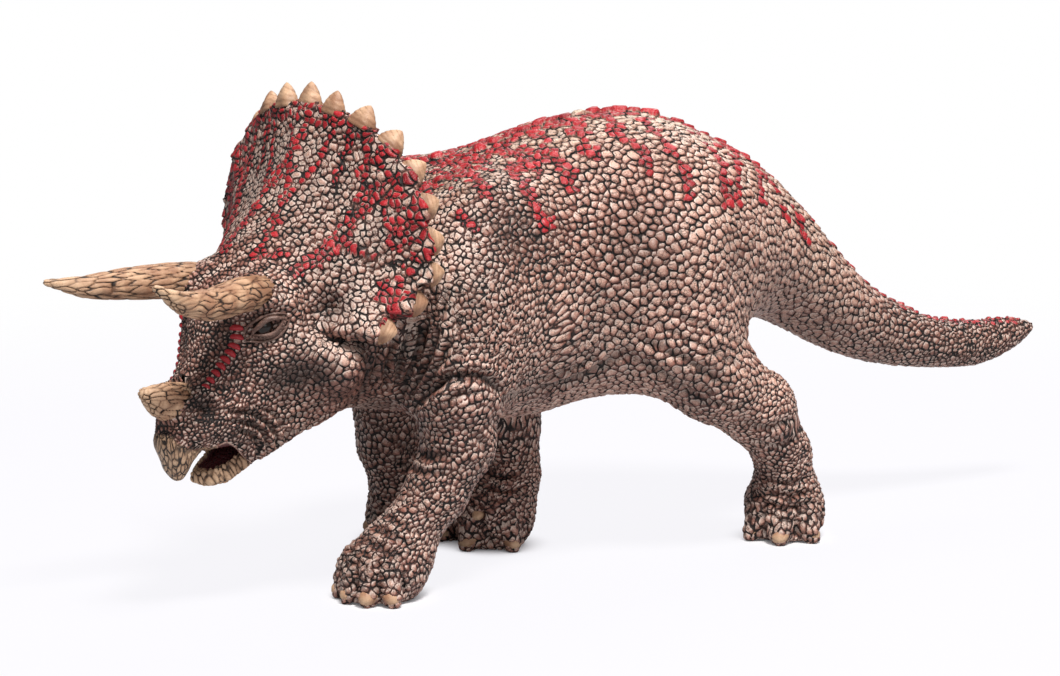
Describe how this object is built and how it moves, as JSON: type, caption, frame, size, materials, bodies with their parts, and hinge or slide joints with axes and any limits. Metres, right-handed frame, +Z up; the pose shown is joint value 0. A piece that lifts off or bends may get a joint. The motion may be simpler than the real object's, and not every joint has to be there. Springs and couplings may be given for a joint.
{
  "type": "toy dinosaur figure",
  "caption": "Four-legged horned dinosaur figure, walking with its head low: frilled head, three horns, hinged lower jaw, tapering tail and flat soles.",
  "frame": {"origin": "middle of the figure's outline seen from above, on the ground under its soles", "axes": "+X towards the tail, so the head looks along -X; +Y to the figure's right; +Z up"},
  "size_m": [0.2078, 0.0578, 0.0908],
  "materials": {
    "skin": "painted plastic with moulded scales, brown wash in the creases and red stripes",
    "horn": "painted plastic with fine dark cracks",
    "eye": "gloss paint",
    "pin": "plain"
  },
  "bodies": {
    "body": {"torso": "skin", "head": "skin", "tail": "skin", "front_left_leg": "skin", "front_right_leg": "skin", "hind_left_leg": "skin", "hind_right_leg": "skin", "nose_horn": "horn", "brow_horn_left": "horn", "brow_horn_right": "horn", "eye_left": "eye", "eye_right": "eye", "jaw_pin": "pin"},
    "jaw": {"lower_jaw": "horn"}
  },
  "joints": [
    {"name": "jaw_hinge", "type": "hinge", "parent": "body", "child": "jaw", "pos_m": [-0.06142, -0.00404, 0.03352], "axis": [-0.2198, 0.9755, 0], "range_deg": [-12, 5]}
  ]
}
